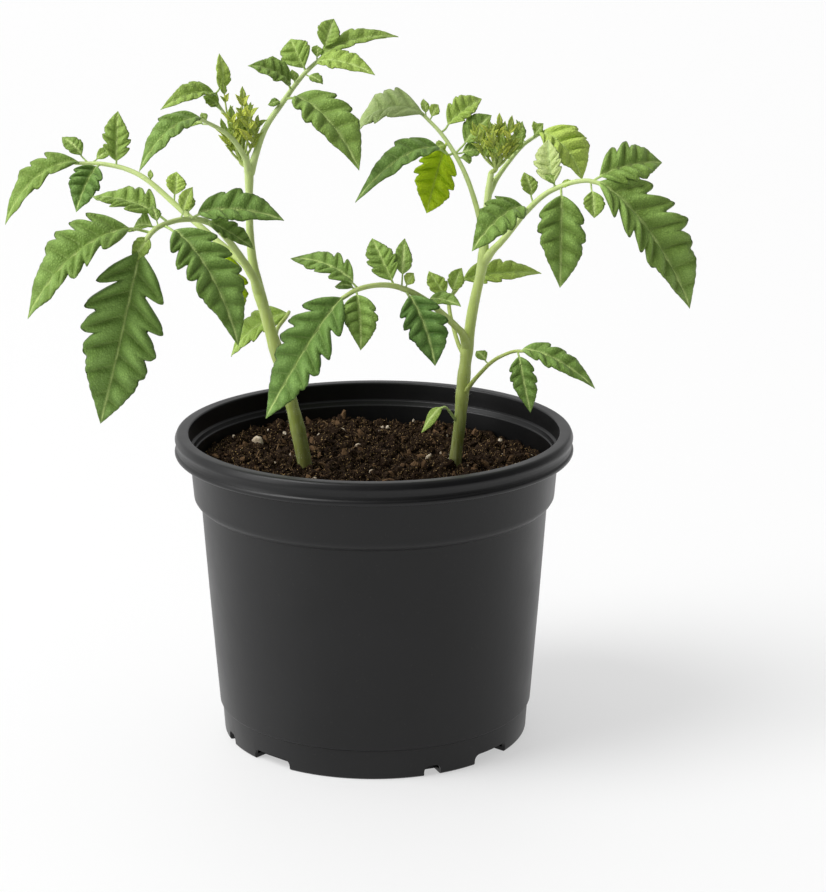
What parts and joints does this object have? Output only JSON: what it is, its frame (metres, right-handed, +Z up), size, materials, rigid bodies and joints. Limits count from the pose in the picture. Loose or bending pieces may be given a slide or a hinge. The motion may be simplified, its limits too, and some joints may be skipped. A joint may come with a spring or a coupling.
{
  "type": "tomato plant in a pot",
  "caption": "Two young tomato plants with lobed compound leaves, standing in soil in a round tapered nursery pot with a rolled rim and drainage notches.",
  "frame": {"origin": "centre of the pot's flat underside, on its axis", "axes": "+Z up along the pot's axis; -Y is the side the plants are seen from, +X to its right"},
  "size_m": [0.2714, 0.1602, 0.2833],
  "materials": {
    "pot_plastic": "satin black moulded plastic",
    "potting_soil": "damp crumbly potting soil",
    "stem": "pale green, finely hairy",
    "leaf": "green leaf with a soft sheen",
    "young_leaf": "yellow-green young growth"
  },
  "bodies": {
    "root": {"leaf_a1_front": "leaf", "leaf_a1_inner": "leaf", "leaf_a1_left": "leaf", "leaf_a1_right": "leaf", "leaf_a1_stalk": "stem", "leaf_a1_terminal": "leaf", "leaf_a1_upper": "leaf", "leaf_a2_hanging": "leaf", "leaf_a2_lower": "leaf", "leaf_a2_stalk": "stem", "leaf_a2_terminal": "leaf", "leaf_a2_upright": "leaf", "leaf_a3_stalk": "stem", "leaf_a3_terminal": "leaf", "leaf_a4_stalk": "stem", "leaf_a4_terminal": "leaf", "leaf_a4_young": "leaf", "leaf_a5_hanging": "leaf", "leaf_a5_left": "leaf", "leaf_a5_right": "leaf", "leaf_a5_stalk": "stem", "leaf_a5_terminal": "leaf", "leaf_a5_upright": "leaf", "leaf_a6_stalk": "stem", "leaf_a6_terminal": "leaf", "leaf_b1_front": "leaf", "leaf_b1_hanging": "leaf", "leaf_b1_left": "leaf", "leaf_b1_right": "leaf", "leaf_b1_stalk": "stem", "leaf_b1_terminal": "leaf", "leaf_b1_upright": "leaf", "leaf_b2_left": "leaf", "leaf_b2_stalk": "stem", "leaf_b2_terminal": "leaf", "leaf_b3_hanging": "leaf", "leaf_b3_left": "leaf", "leaf_b3_stalk": "stem", "leaf_b3_terminal": "leaf", "leaf_b3_upper": "leaf", "leaf_b3_upright": "leaf", "leaf_b4_left": "leaf", "leaf_b4_lower": "leaf", "leaf_b4_right": "leaf", "leaf_b4_stalk": "stem", "leaf_b4_terminal": "leaf", "leaf_b5_stalk": "stem", "leaf_b5_terminal": "leaf", "leaf_b6_hanging": "leaf", "leaf_b6_stalk": "stem", "leaf_b6_terminal": "leaf", "pot": "pot_plastic", "seed_leaf": "leaf", "shoot_tip_a": "young_leaf", "shoot_tip_b": "young_leaf", "soil": "potting_soil", "stem_a": "stem", "stem_b": "stem"}
  },
  "joints": []
}
